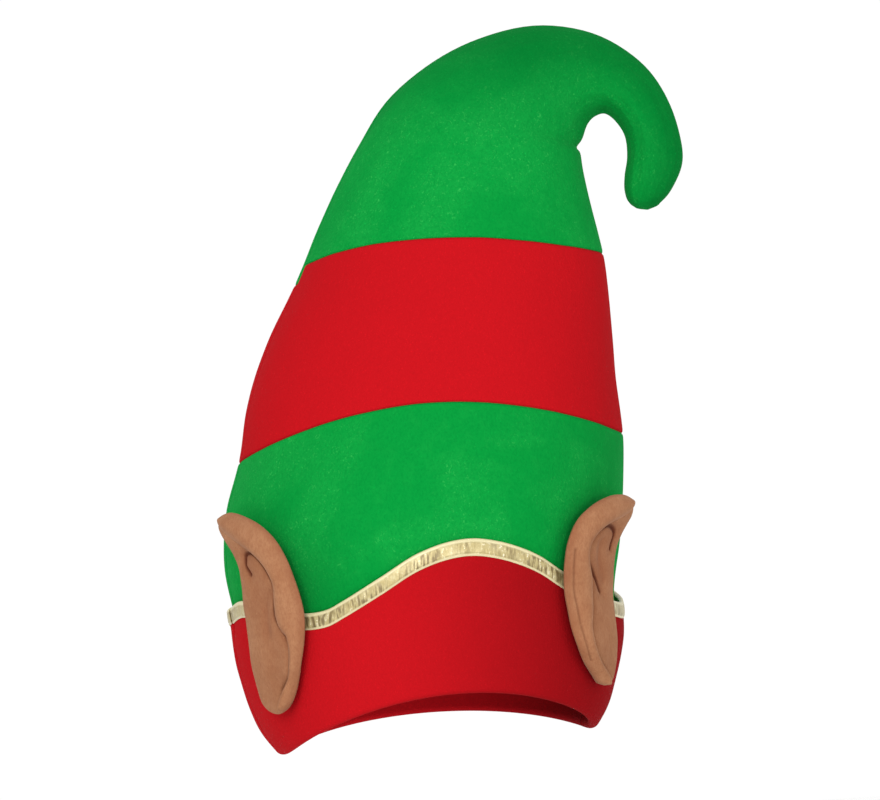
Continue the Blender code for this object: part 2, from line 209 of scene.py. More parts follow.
def number(default, name, text):
    return bpy.props.FloatProperty(name=name, description=text, default=default, min=0)


def colour(default, name, text):
    return bpy.props.FloatVectorProperty(
        name=name, description=text, default=default, subtype="COLOR", size=3, min=0, max=1
    )


class HatSizes(bpy.types.PropertyGroup):
    """Sizes of the cloth and its details, in millimetres"""

    cloth: number(1.5, "Cloth", "Thickness of the velour with its pile")
    grid: number(2.0, "Grid", "Spacing of the points on a cloth")
    tuck: number(0.7, "Seam tuck", "How far a cloth's edge turns in at a seam")
    tuck_width: number(2.2, "Tuck width", "How far from a seam the cloth starts to turn in")
    relief: number(0.55, "Relief", "Height of the soft unevenness of the filled-out cloth")
    pucker: number(0.9, "Pucker", "Depth of the folds that run out from under the curl")
    allowance: number(7.0, "Seam allowance", "Width of the cloth left inside beside a seam")
    ear_body: number(1.2, "Ear padding", "How much the padding fills the middle of an ear")
    ear_rim: number(3.1, "Ear rim", "Height of the rolled rim over the rest of the ear")
    rib: number(1.0, "Rib", "Spacing of the threads across the gold binding")


class HatColours(bpy.types.PropertyGroup):
    """Colours of the cloths, the trim and the studio floor"""

    green: colour((0.001, 0.158, 0.022), "Green", "Green velour in even light")
    green_light: colour((0.004, 0.187, 0.028), "Brushed green", "Green pile brushed to the light")
    # Painted glints: pile tips lit by the lamps.
    fleck_glint: colour((0.022, 0.26, 0.05), "Green fleck", "Tips of green pile that catch the light")
    # Also the colour of the painted shade at seams and on the velour's shaded side.
    green_deep_and_shade: colour((0.0, 0.12, 0.017), "Deep green", "Green pile seen into")
    red: colour((0.285, 0.0035, 0.006), "Red", "Red velour in even light")
    # Also the colour of the painted shade at seams and on the velour's shaded side.
    red_deep_and_shade: colour((0.22, 0.003, 0.005), "Deep red", "Red pile seen into")
    gold: colour((0.29, 0.235, 0.10), "Gold", "Metallic threads of the binding")
    gold_pale: colour((0.42, 0.37, 0.21), "Pale gold", "Folded edges of the binding")
    # Painted shade in the low places between the threads.
    gold_gap_shade: colour((0.09, 0.06, 0.02), "Dark gold", "Between the binding's threads")
    gold_glint: colour((0.7, 0.66, 0.52), "Gold glint", "Threads that catch the light")
    ear: colour((0.2, 0.086, 0.041), "Ear", "Brushed plush of the ears")
    # Also the colour of the painted shade in the creases, in the bowl and at the edges.
    ear_deep_and_shade: colour((0.135, 0.043, 0.02), "Ear creases", "Plush in the ears' creases")
    ear_light: colour((0.25, 0.122, 0.062), "Brushed ear", "Ear plush brushed to the light")
    # Also the colour of the painted shadow along the rolled rim's inner edge.
    ear_thread_and_shadow: colour((0.06, 0.014, 0.006), "Ear stitching", "Stitched lines of the creases")
    floor: colour((0.9, 0.9, 0.9), "Floor", "The studio floor")


def ease(start, end, value):
    """0 before start, 1 after end and a smooth step between them."""
    share = np.clip((value - start) / (end - start), 0, 1)
    return share * share * (3 - 2 * share)


def between_rows(at, knots, values):
    """A table's values at any place, on a curve whose slope at a row is that of its neighbours."""
    slopes = np.gradient(values, knots, axis=0)
    low = np.clip(np.searchsorted(knots, at) - 1, 0, len(knots) - 2)
    step = (knots[low + 1] - knots[low])[..., None]
    share = (np.clip(at, knots[0], knots[-1]) - knots[low])[..., None] / step
    return (
        values[low] * (1 + 2 * share) * (1 - share) ** 2
        + values[low + 1] * share**2 * (3 - 2 * share)
        + slopes[low] * step * share * (1 - share) ** 2
        - slopes[low + 1] * step * share**2 * (1 - share)
    )


def hat_surface(along, turn):
    """Points of the hat. Each section is an ellipse in its own plane: from the middle of its two
    edges, half the way between them times the sine of the turn, and the depth times the cosine."""
    table = np.array([section[1:] for section in SECTIONS], float)
    row = between_rows(along, ALONG, table)
    left_x, left_z, right_x, right_z, depth, back = np.moveaxis(row, -1, 0)
    across = np.sin(turn)
    x = (left_x + right_x) / 2 + (right_x - left_x) / 2 * across
    z = (left_z + right_z) / 2 + (right_z - left_z) / 2 * across
    y = back - depth * np.cos(turn)
    return np.stack([x, y, z], axis=-1)


def hat_normal(along, turn):
    """Unit normals outwards: the cross product of the slopes round and along the surface. At the
    closed tip it is the middle line's direction."""
    nudge_along, nudge_turn = 0.25, 0.01
    last = ALONG[-1]
    upper, lower = np.minimum(along + nudge_along, last), np.minimum(along, last) - nudge_along
    up = hat_surface(upper, turn) - hat_surface(lower, turn)
    round_it = hat_surface(along, turn + nudge_turn) - hat_surface(along, turn - nudge_turn)
    normal = np.cross(round_it, up)
    middle = hat_surface(upper, 0) + hat_surface(upper, np.pi)
    middle = middle - hat_surface(lower, 0) - hat_surface(lower, np.pi)
    normal = np.where((along >= last - 1e-6)[..., None], middle, normal)
    return normal / np.linalg.norm(normal, axis=-1, keepdims=True)


def layer(along, turn, offset):
    """The hat's surface moved out along its normals by an offset."""
    given = (np.asarray(value, float) for value in (along, turn, offset))
    along, turn, offset = np.broadcast_arrays(*given)
    return hat_surface(along, turn) + hat_normal(along, turn) * offset[..., None]


def arch(turn, side, front_rise, back_rise):
    """A seam's height: a side height and a rise times the squared cosine, skewed a little."""
    rise = np.where(np.cos(turn) > 0, front_rise, back_rise)
    return side + rise * np.cos(turn) ** 2 - ARCH_SKEW * np.sin(2 * turn)


def low_seam(turn):
    return arch(turn, LOW_SEAM_SIDE, LOW_SEAM_RISE, LOW_SEAM_RISE)


def top_seam(turn, half):
    """The upper stripe's seam. On the back panel it ends lower at the wearer's right side seam."""
    height = arch(turn, TOP_SEAM_SIDE, TOP_SEAM_RISE, TOP_SEAM_RISE) - TOP_SEAM_LEAN * np.sin(turn)
    mismatch = TOP_SEAM_MISMATCH * (1 - np.sin(turn)) / 2 if half == "back" else 0
    return height - mismatch


def hem(turn):
    """The centre of the fold at the cuff's lower edge."""
    return arch(turn - CUFF_TURN, HEM_SIDE, HEM_FRONT_RISE, HEM_BACK_RISE)


def cuff_top(turn):
    """The cuff's waved upper edge: its table's curve at the turn in degrees, less full turns."""
    table = np.array(CUFF_EDGE, float)
    degrees = (np.degrees(turn) + 180) % 360 - 180
    return between_rows(degrees, table[:, 0], table[:, 1:])[..., 0]


def cuff_middle(along, turn, cloth):
    """How far the cuff's middle is from the crown. It loosens upwards, most at one side seam, and
    the binding draws it in at the other."""
    tight, loose = FOLD_GAP + cloth / 2, 2 * FOLD_GAP + TRIM + cloth / 2
    share = (along - hem(turn)) / (cuff_top(turn) - hem(turn))
    flare = FLARE * np.exp(-(((turn - FLARE_TURN) / FLARE_WIDTH) ** 2))
    drawn = 0.6 * np.exp(-(((turn + np.pi / 2) / 0.35) ** 2)) * ease(0.5, 0.9, share)
    return tight + (loose - tight) * ease(0.3, 0.8, share) + flare * ease(0.35, 1, share) - drawn


def soft_relief(along, turn, height):
    """The unevenness of filled-out cloth: three sums of sines along and round the hat."""
    slow = np.sin(along / 23 + 2.1 * np.sin(turn * 2)) * np.cos(turn * 5 + along / 61)
    middle = np.sin(along / 11 - turn * 7 + 1.3) * np.sin(turn * 9 + along / 37)
    quick = np.sin(along / 6.1 + turn * 15) * np.sin(turn * 19 - along / 9)
    return height * (0.65 * slow + 0.3 * middle + 0.1 * quick)


def pinch_folds(along, turn, depth):
    """Folds that fan out from the pinch under the curl: sines of the angle about the pinch, which
    fade with the distance from it and at the outline, less a hollow at the pinch itself."""
    up = along - PINCH
    aside = 48 * (turn - PINCH_TURN)
    far = np.hypot(up, aside)
    angle = np.arctan2(up, np.abs(aside) + 1e-6)
    fans = 0.5 + 0.5 * np.cos(angle * 9 + 0.8 + np.sign(aside) * 0.5)
    fade = ease(1, 8, far) * np.exp(-((far / 26) ** 1.6)) * ease(4, 20, np.abs(aside))
    hollow = 0.6 * np.exp(-((up / 7) ** 2) - (aside / 18) ** 2)
    return -depth * (0.7 * fans * fade + hollow)


def curl_folds(along, turn, depth):
    """Small folds across the inner side of the curl, where the cloth is gathered up."""
    away = np.abs(turn - PINCH_TURN)
    inside = np.exp(-((away / 0.85) ** 2)) * ease(0.15, 0.6, away)
    place = ease(290, 312, along) * (1 - ease(372, 396, along))
    return -depth * inside * place * (0.5 + 0.5 * np.sin(along / 2.3 + 1.5 * np.sin(turn * 3)))


def tucked(distance, depth, width):
    """How far a cloth has turned in beside a seam: a quarter of an ellipse over the width."""
    share = np.clip(1 - distance / width, 0, 1)
    return -depth * (1 - np.sqrt(1 - share**2))


def half_turns(half, columns):
    """Angles across a front or back panel, from side seam to side seam."""
    start = PANEL_TURN - np.pi / 2 if half == "front" else PANEL_TURN + np.pi / 2
    return start + np.linspace(0, np.pi, columns + 1)


def part_halves(points, half):
    """Moves a front or back panel half a seam's width from the other."""
    return points + np.array([0, HALVES_GAP / 2 * (-1 if half == "front" else 1), 0])


def packed_rows(count, packing=0.5):
    """Shares from 0 to 1, less a packing times a sine, so that they lie closer near both ends."""
    even = np.linspace(0, 1, count + 1)
    return even - packing * np.sin(2 * np.pi * even) / (2 * np.pi)


def link(mesh, name):
    piece = bpy.data.objects.new(name, mesh)
    bpy.context.scene.collection.objects.link(piece)
    return piece


def make_mesh(name, points, faces, values=None, places=None):
    """A mesh of quads from arrays of points in millimetres, with float attributes by point and a
    UV map from places by point. Doubled points are merged, and quads there become triangles."""
    mesh = bpy.data.meshes.new(name)
    mesh.vertices.add(len(points))
    mesh.vertices.foreach_set("co", (points * MM).astype(np.float32).ravel())
    mesh.loops.add(faces.size)
    mesh.loops.foreach_set("vertex_index", faces.ravel().astype(np.int32))
    mesh.polygons.add(len(faces))
    starts = np.arange(0, faces.size, faces.shape[1], dtype=np.int32)
    mesh.polygons.foreach_set("loop_start", starts)
    mesh.update(calc_edges=True)
    for key, data in (values or {}).items():
        attribute = mesh.attributes.new(key, "FLOAT", "POINT")
        attribute.data.foreach_set("value", data.astype(np.float32).ravel())
    if places is not None:
        layer_uv = mesh.uv_layers.new(name="cloth")
        layer_uv.data.foreach_set("uv", places[faces.ravel()].astype(np.float32).ravel())
    body = bmesh.new()
    body.from_mesh(mesh)
    bmesh.ops.remove_doubles(body, verts=body.verts, dist=1e-7)
    bmesh.ops.dissolve_degenerate(body, edges=body.edges, dist=1e-7)
    body.to_mesh(mesh)
    body.free()
    mesh.shade_smooth()
    return mesh


def grid_quads(rows, columns, first=0):
    sheet = first + np.arange(rows * columns).reshape(rows, columns)
    corners = (sheet[:-1, :-1], sheet[:-1, 1:], sheet[1:, 1:], sheet[1:, :-1])
    return np.stack(corners, axis=-1).reshape(-1, 4)


def grid_edge(rows, columns):
    sheet = np.arange(rows * columns).reshape(rows, columns)
    return np.concatenate((sheet[0, :-1], sheet[:-1, -1], sheet[-1, :0:-1], sheet[:0:-1, 0]))


def shell(name, outer, inner, materials, values=None):
    """A closed cloth between two grids of points. Its outer face and edges take the first material
    and its inner face the last. Its UV map is the distance in metres across and along the grid."""
    rows, columns = outer.shape[:2]
    count = rows * columns
    edge = grid_edge(rows, columns)
    after = np.roll(edge, -1)
    rim = np.stack([edge, edge + count, after + count, after], axis=-1)
    quads = grid_quads(rows, columns)
    faces = np.concatenate([quads, quads[:, ::-1] + count, rim])
    across = np.linalg.norm(np.diff(outer, axis=1), axis=-1)
    down = np.linalg.norm(np.diff(outer, axis=0), axis=-1)
    u = np.pad(np.cumsum(across, axis=1), ((0, 0), (1, 0)))
    v = np.pad(np.cumsum(down, axis=0), ((1, 0), (0, 0)))
    place = np.stack([np.broadcast_to(u.mean(axis=0), u.shape), v], axis=-1).reshape(-1, 2) * MM
    points = np.concatenate([outer.reshape(-1, 3), inner.reshape(-1, 3)])
    both = {key: np.tile(data.ravel(), 2) for key, data in (values or {}).items()}
    mesh = make_mesh(name, points, faces, both, np.concatenate([place, place]))
    for material in materials:
        mesh.materials.append(material)
    if len(mesh.polygons) == len(faces):
        index = np.zeros(len(faces), np.int32)
        index[len(quads) : -len(rim)] = len(materials) - 1
        mesh.polygons.foreach_set("material_index", index)
    return link(mesh, name)


class Socket:
    """A value in a shader. Arithmetic on it adds Math nodes."""

    def __init__(self, shader, socket):
        self.shader, self.socket = shader, socket

    def math(self, operation, *others):
        inputs = dict(enumerate((self, *others)))
        return self.shader.add("ShaderNodeMath", {"operation": operation}, inputs)[0]

    def __add__(self, other):
        return self.math("ADD", other)

    def __rsub__(self, other):
        return (self * -1).math("ADD", other)

    def __mul__(self, other):
        return self.math("MULTIPLY", other)

    def sine(self):
        return self.math("SINE")

    def step(self, low, high):
        """0 below low, 1 above high and a smooth step between them."""
        settings = {"interpolation_type": "SMOOTHSTEP"}
        inputs = {"Value": self, "From Min": low, "From Max": high}
        return self.shader.add("ShaderNodeMapRange", settings, inputs)[0]


class Shader:
    """A material's node tree and the expressions that are built in it."""

    def __init__(self, name):
        self.material = bpy.data.materials.new(name)
        self.material.use_nodes = True
        self.tree = self.material.node_tree
        self.surface = self.tree.nodes["Principled BSDF"]

    def set(self, node, inputs):
        for key, value in inputs.items():
            target = node.inputs[key]
            if isinstance(value, Socket):
                self.tree.links.new(value.socket, target)
            else:
                target.default_value = value

    def add(self, kind, settings, inputs):
        """A node of a kind with its settings and inputs. Gives its outputs that are in use."""
        node = self.tree.nodes.new(kind)
        for key, value in settings.items():
            setattr(node, key, value)
        self.set(node, inputs)
        return [Socket(self, output) for output in node.outputs if output.enabled]

    def place(self, scale=(1, 1, 1)):
        """Object coordinates, stretched by a scale."""
        coordinates = self.add("ShaderNodeTexCoord", {}, {})[3]
        inputs = {"Vector": coordinates, "Scale": scale}
        return self.add("ShaderNodeMapping", {}, inputs)[0]

    def noise(self, vector, scale, detail=2.0, roughness=0.5, distortion=0.0):
        inputs = {"Vector": vector, "Scale": scale, "Detail": detail}
        inputs |= {"Roughness": roughness, "Distortion": distortion}
        return self.add("ShaderNodeTexNoise", {}, inputs)[0]

    def attribute(self, name):
        return self.add("ShaderNodeAttribute", {"attribute_name": name}, {})[2]

    def uv(self):
        """The piece's own UV map, as its two numbers."""
        place = self.add("ShaderNodeUVMap", {"uv_map": "cloth"}, {})[0]
        return self.add("ShaderNodeSeparateXYZ", {}, {"Vector": place})[:2]

    def mix(self, share, first, second):
        """A colour between two, by a share. The node's inputs of one name are told by number."""
        first, second = (c if isinstance(c, Socket) else (*c, 1) for c in (first, second))
        node = self.tree.nodes.new("ShaderNodeMix")
        node.data_type = "RGBA"
        factor, a, b = node.inputs[0], node.inputs[6], node.inputs[7]
        for target, value in ((factor, share), (a, first), (b, second)):
            if isinstance(value, Socket):
                self.tree.links.new(value.socket, target)
            else:
                target.default_value = value
        return Socket(self, node.outputs[2])

    def bump(self, height, distance, strength):
        inputs = {"Height": height, "Distance": distance, "Strength": strength}
        return self.add("ShaderNodeBump", {}, inputs)[0]

    def finish(self, **inputs):
        """Sets the surface's sockets, named with underscores for spaces."""
        self.set(self.surface, {key.replace("_", " "): value for key, value in inputs.items()})
        return self.material


def plush(name, tones, mottle, sheen, tint):
    """Short-pile velour. Soft clouds of pile brushed to and from the light, a fine grain of tufts
    and small painted glints on pile tips mix the colours, and the tufts make the bump. Painted
    shade darkens the cloth at its seams, on its shaded side and in the ear's shadow."""
    base, light, deep, fleck_glint_colour = tones
    shader = Shader(name)
    place = shader.place()
    clouds = shader.noise(place, 21, detail=3, roughness=0.55, distortion=0.5)
    brushed = shader.noise(place, 150, detail=3, roughness=0.6)
    tufts = shader.noise(shader.place(scale=(1, 1, 0.6)), 950, detail=2, roughness=0.7)
    # Painted glints: small bright flecks where pile tips catch the light.
    fleck_glints = shader.noise(place, 620, detail=2, roughness=0.6, distortion=1.5).step(0.6, 0.7)
    seam, nap_and_shade = shader.attribute("seam"), shader.attribute("nap_and_shade")
    lift = clouds.step(0.4, 0.68) * 0.6 + brushed.step(0.45, 0.72) * 0.3
    colour_of = shader.mix(lift * mottle, base, light)
    colour_of = shader.mix((1 - tufts.step(0.32, 0.6)) * (0.4 * mottle), colour_of, deep)
    colour_of = shader.mix(fleck_glints * clouds.step(0.4, 0.6) * (0.6 * mottle), colour_of, fleck_glint_colour)
    # Painted shade: the cloth darkens where it turns in beside a seam.
    colour_of = shader.mix(seam * 0.6, colour_of, deep)
    # Painted shade: darker towards the shaded side and in the ear's shadow, as each piece's values
    # say.
    colour_of = shader.mix(nap_and_shade * 0.5, colour_of, tuple(0.5 * channel for channel in deep))
    height = tufts * 0.6 + brushed * 0.4
    return shader.finish(
        Base_Color=colour_of,
        Roughness=0.95,
        Specular_IOR_Level=0.015,
        Sheen_Weight=sheen,
        Sheen_Roughness=0.45,
        Sheen_Tint=(*tint, 1),
        Normal=shader.bump(height, 0.001, 0.5),
    )


def backing(name, base, deep):
    """The knitted back of the velour: fine rows of loops, by sines across and along the cloth."""
    shader = Shader(name)
    across, down = shader.uv()
    loops = (across * 4200).sine() * (down * 3000).sine() * 0.5 + 0.5
    worn = shader.noise(shader.place(), 60, detail=3)
    colour_of = shader.mix(loops * 0.35 + worn * 0.3, deep, base)
    return shader.finish(
        Base_Color=colour_of,
        Roughness=0.95,
        Specular_IOR_Level=0.1,
        Normal=shader.bump(loops, 0.0003, 0.6),
    )


def gold_trim(colours, rib):
    """Woven metallic binding. Uneven threads run across its middle band, made of noise that is
    stretched across the band, with painted shade between them and painted glints on them in
    patches that come and go. The folded edges are pale."""
    shader = Shader("gold binding")
    flat = shader.add("ShaderNodeUVMap", {"uv_map": "cloth"}, {})[0]
    scale = (0.55 / (rib * MM), 0.12 / (rib * MM), 1)
    slant = {"Vector": flat, "Scale": scale, "Rotation": (0, 0, 0.06)}
    slanted = shader.add("ShaderNodeMapping", {}, slant)[0]
    threads = shader.noise(slanted, 1.0, detail=2, roughness=0.6)
    place = shader.place()
    grain = shader.noise(place, 800, detail=2, roughness=0.7)
    patches = shader.noise(place, 38, detail=2, roughness=0.6)
    middle = shader.attribute("middle")
    # Painted shade: dark where the threads are low in the bump, in patches.
    gap_shade = (1 - threads).step(0.44, 0.6) * patches.step(0.36, 0.52) * middle
    worn = shader.noise(place, 140, detail=3, roughness=0.7).step(0.42, 0.7)
    colour_of = shader.mix(worn * 0.6, colours.gold, colours.gold_pale)
    colour_of = shader.mix(1 - middle, colour_of, colours.gold_pale)
    colour_of = shader.mix(gap_shade * 0.85, colour_of, colours.gold_gap_shade)
    glint = threads.step(0.55, 0.66) * grain.step(0.45, 0.65) * middle
    colour_of = shader.mix(glint * 0.6, colour_of, colours.gold_glint)
    weave = threads * middle + grain * 0.3
    return shader.finish(
        Base_Color=colour_of,
        Metallic=middle * 0.2 + 0.1,
        Roughness=grain * 0.2 + 0.3,
        Normal=shader.bump(weave, 0.0006, 0.8),
    )


def ear_plush(colours):
    """Brushed plush of the ears: soft patches, a nap of short fibres, dark stitching, painted shadow
    along the rolled rim's inner edge, and painted shade in the creases, in the bowl and at the
    edges.
    """
    shader = Shader("ear plush")
    place = shader.place()
    patches = shader.noise(place, 55, detail=3, roughness=0.6)
    nap_and_shade = shader.noise(shader.place(scale=(1, 1, 0.5)), 1100, detail=2, roughness=0.7)
    rub = shader.noise(place, 210, detail=3, roughness=0.65)
    crease, fold = shader.attribute("crease"), shader.attribute("fold")
    lift = patches.step(0.35, 0.7) * 0.5 + rub.step(0.4, 0.75) * 0.4
    colour_of = shader.mix(lift, colours.ear, colours.ear_light)
    colour_of = shader.mix((1 - nap_and_shade.step(0.3, 0.62)) * 0.3, colour_of, colours.ear_deep_and_shade)
    # Painted shade: darker in the creases, in the bowl and along the edges, by the fold value.
    colour_of = shader.mix(fold * 0.5, colour_of, colours.ear_deep_and_shade)
    # Dark stitching, and painted shadow along the rolled rim's inner edge.
    colour_of = shader.mix(crease, colour_of, colours.ear_thread_and_shadow)
    return shader.finish(
        Base_Color=colour_of,
        Roughness=0.9,
        Specular_IOR_Level=0.05,
        Sheen_Weight=0.1,
        Sheen_Roughness=0.45,
        Sheen_Tint=(1.0, 0.7, 0.5, 1),
        Normal=shader.bump(nap_and_shade * 0.6 + rub * 0.4, 0.0009, 0.5),
    )


def hat_material(name):
    """One of the hat's materials, made the first time that it is asked for."""
    if name in bpy.data.materials:
        return bpy.data.materials[name]
    tones = bpy.context.scene.hat_colours
    green = (tones.green, tones.green_light, tones.green_deep_and_shade, tones.fleck_glint)
    red = (tones.red, tones.red, tones.red_deep_and_shade, tones.red)
    makers = {
        "green velour": lambda: plush(name, green, mottle=1, sheen=0.06, tint=(0.1, 1, 0.3)),
        "red velour": lambda: plush(name, red, mottle=0.5, sheen=0.04, tint=(1, 0.1, 0.1)),
        "green backing": lambda: backing(name, tones.green_light, tones.green_deep_and_shade),
        "red backing": lambda: backing(name, tones.red, tones.red_deep_and_shade),
        "gold binding": lambda: gold_trim(tones, bpy.context.scene.hat_sizes.rib),
        "ear plush": lambda: ear_plush(tones),
    }
    return makers[name]()


def dress(piece, nodes, slot):
    """Fits a finished piece to the frame in place of the nodes that it stands for."""
    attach(piece, "root")
    if nodes:
        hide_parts(*nodes)
    return piece


def panel(name, half, foot, head, rows, columns, materials, sizes, edges=(True, True)):
    """A crown panel between two seams. Its outer face is the hat's surface with the relief and the
    folds on it, tucked in beside its seams. Its inner face is a cloth's thickness inside. Its
    painted shade grows to one side and up the curl's back, and is a bell of painted shadow beside
    the right ear."""
    turn = half_turns(half, columns)[None, :]
    share = packed_rows(rows, 0.5 if edges[1] else 0.9)[:, None]
    along = foot + share * (head - foot)
    radius = np.linalg.norm(hat_surface(along, turn)[..., :2], axis=-1)
    to_side = np.minimum(turn - turn[:, :1], turn[:, -1:] - turn) * np.minimum(radius, 90)
    depth, width = sizes.tuck, sizes.tuck_width
    tuck = tucked(to_side, depth, width)
    for near, distance in zip(edges, (along - foot, head - along)):
        if near:
            tuck = np.minimum(tuck, tucked(distance, depth, width))
    offset = soft_relief(along, turn, sizes.relief) + pinch_folds(along, turn, sizes.pucker)
    offset = offset + curl_folds(along, turn, 0.28 * sizes.pucker)
    closing = 1 - ease(ALONG[-1] - 12, ALONG[-1] - 1, along)
    offset = offset * closing + tuck * np.maximum(closing, 0.3)
    outer = part_halves(layer(along, turn, offset), half)
    # The seam value is painted shade where the cloth turns in beside a seam.
    values = {"seam": np.clip(-tuck / depth, 0, 1) ** 1.5}
    # Painted shade: darker towards +X on the lower crown and on the curl's back, and a bell of
    # painted shadow from the right ear.
    aside = 0.3 * ease(30, 110, outer[..., 0]) * (1 - ease(LOW_SEAM_SIDE, 250, along))
    curl = ease(255, 330, along) * (0.3 + 0.9 * ease(0.75, -0.4, np.sin(turn)))
    painted_ear_shadow = 0.6 * np.exp(-(((outer[..., 0] + 60) / 17) ** 2) - ((along - 56) / 24) ** 2)
    values["nap_and_shade"] = aside + curl + painted_ear_shadow
    inner = part_halves(layer(along, turn, offset - sizes.cloth), half)
    return shell(name, outer, inner, materials, values)


class HAT_OT_crown(bpy.types.Operator):
    """Sew the green and red stripes of the crown and its curled top"""

    bl_idname = "hat.crown"
    bl_label = "Crown"

    def execute(self, context):
        sizes = context.scene.hat_sizes
        green = [hat_material("green velour"), hat_material("green backing")]
        red = [hat_material("red velour"), hat_material("red backing")]
        columns = round(HALF_GIRTH / sizes.grid)
        for half in ("front", "back"):
            turn = half_turns(half, columns)[None, :]
            low, top = low_seam(turn), top_seam(turn, half)
            foot = hem(turn) + 2 * FOLD_GAP
            rows = round(LOW_LENGTH / sizes.grid)
            edges = (False, True)
            name = f"velour_low_{half}"
            lower = panel(name, half, foot, low - SEAM_GAP, rows, columns, green, sizes, edges)
            dress(lower, [f"crown_low_{half}"], "green_plush")

            rows = round(MIDDLE_LENGTH / sizes.grid)
            name = f"velour_middle_{half}"
            foot, head = low + SEAM_GAP, top - SEAM_GAP
            middle = panel(name, half, foot, head, rows, columns, red, sizes)
            dress(middle, [f"crown_mid_{half}"], "red_plush")

            rows = round(TOP_LENGTH / sizes.grid)
            name = f"velour_top_{half}"
            end = np.full_like(top, ALONG[-1])
            edges = (True, False)
            upper = panel(name, half, top + SEAM_GAP, end, rows, columns, green, sizes, edges)
            dress(upper, [f"crown_top_{half}"], "green_plush")
        return {"FINISHED"}


def allowance_strip(name, along, turn, half, sizes, material):
    """Two edges of cloth pressed open inside a seam, as one strip that waves slightly."""
    wave = 0.25 * np.sin(np.arange(along.shape[1]) / 3.1)[None, :]
    from_seam = np.abs(np.linspace(-1, 1, along.shape[0]))[:, None]
    away = -sizes.cloth - 0.35 - 0.25 * from_seam + wave * 0.3
    outer = part_halves(layer(along, turn, away), half)
    inner = part_halves(layer(along, turn, away - 1.0), half)
    return shell(name, outer, inner, [material])


class HAT_OT_allowances(bpy.types.Operator):
    """Lay the seam allowances inside the crown"""

    bl_idname = "hat.allowances"
    bl_label = "Seam allowances"

    def execute(self, context):
        sizes = context.scene.hat_sizes
        width = sizes.allowance
        across = np.linspace(-width, width, 7)[:, None]
        for half in ("front", "back"):
            turn = half_turns(half, 120)[None, 3:-3]
            for place, middle, cloth in (
                ("low", low_seam(turn), "green backing"),
                ("top", top_seam(turn, half), "red backing"),
            ):
                along, turns = np.broadcast_arrays(middle + across, turn)
                name = f"allowance_{place}_{half}"
                strip = allowance_strip(name, along, turns, half, sizes, hat_material(cloth))
                dress(strip, [], "red_plush" if place == "top" else "green_plush")
                2 * width * MM
        for side, turn_at in (("right", PANEL_TURN - np.pi / 2), ("left", PANEL_TURN + np.pi / 2)):
            along = np.linspace(20, 245, 100)[None, :] + 0 * across
            turn = turn_at + across / 80
            turns = np.broadcast_to(turn, along.shape)
            name = f"allowance_side_{side}"
            cloth = hat_material("green backing")
            strip = allowance_strip(name, along, turns, "front", sizes, cloth)
            dress(strip, [], "green_plush")
            2 * width * MM
        return {"FINISHED"}


def cuff_relief(along, turn, sizes):
    """The cuff's own unevenness, which fades at its fold, and its swell under the binding at the
    right side: a bell along and round the hat."""
    share = (along - hem(turn)) / (cuff_top(turn) - hem(turn))
    swell = 0.9 * np.exp(-(((turn + np.pi / 2) / 0.4) ** 2) - ((along - 29) / 6) ** 2)
    uneven = soft_relief(along * 1.3 + 40, turn * 1.2, 0.7 * sizes.relief)
    return uneven * ease(0, 0.25, share) + swell


def cuff_face(turn, radius, sizes):
    """One face of the cuff's cloth: down the outside with the relief on it, half a circle of the
    radius round the fold at the hem, and up the facing inside."""
    edge, top = hem(turn), cuff_top(turn)
    cloth = sizes.cloth
    centre = -cloth / 2
    side = radius - (FOLD_GAP + cloth)
    rows = round(CUFF_LENGTH / sizes.grid)
    down = (1 - packed_rows(rows, 0.3))[:, None]
    height = edge + down * (top - edge)
    uneven = cuff_relief(height, turn, sizes)
    outside = layer(height, turn, cuff_middle(height, turn, cloth) + side + uneven)
    angle = np.linspace(0, np.pi, 15)[1:-1, None]
    below, out = radius * np.sin(angle), radius * np.cos(angle)
    blend = (1 + np.cos(angle)) / 2
    shift = blend * (cuff_middle(edge, turn, cloth) + side - radius - centre)
    fold = layer(edge - below, turn, centre + out + shift)
    up = np.linspace(0, FACING, round(FACING / sizes.grid) + 1)[:, None]
    inside = layer(edge + up, turn, centre - radius - 0.25 * ease(18, FACING, up))
    return np.concatenate([outside, fold, inside])


class HAT_OT_cuff(bpy.types.Operator):
    """Fold up the red cuff, with its facing inside the hat"""

    bl_idname = "hat.cuff"
    bl_label = "Cuff"

    def execute(self, context):
        sizes = context.scene.hat_sizes
        columns = round(HALF_GIRTH / sizes.grid)
        red = [hat_material("red velour")]
        for half in ("front", "back"):
            turn = half_turns(half, columns)[None, :]
            inner_radius = FOLD_GAP + sizes.cloth / 2
            outer = cuff_face(turn, inner_radius + sizes.cloth, sizes)
            inner = cuff_face(turn, inner_radius, sizes)
            to_side = np.minimum(turn - turn[:, :1], turn[:, -1:] - turn) * HEAD_RADIUS
            tuck = tucked(to_side, 0.9, 2.6)
            middle = hat_normal(hem(turn) + 20, turn)
            outer = outer + middle * tuck[..., None]
            # The seam value is painted shade where the cuff turns in at its side seams.
            values = {"seam": np.broadcast_to(np.clip(-tuck, 0, 1), outer.shape[:2])}
            # Painted shade: the cuff darkens towards +X, its side away from the key light.
            values["nap_and_shade"] = 1.4 * ease(-45, 75, outer[..., 0])
            outer, inner = part_halves(outer, half), part_halves(inner, half)
            cuff = shell(f"cuff_cloth_{half}", outer, inner, red, values)
            dress(cuff, [f"cuff_{half}"], "red_plush")
        return {"FINISHED"}


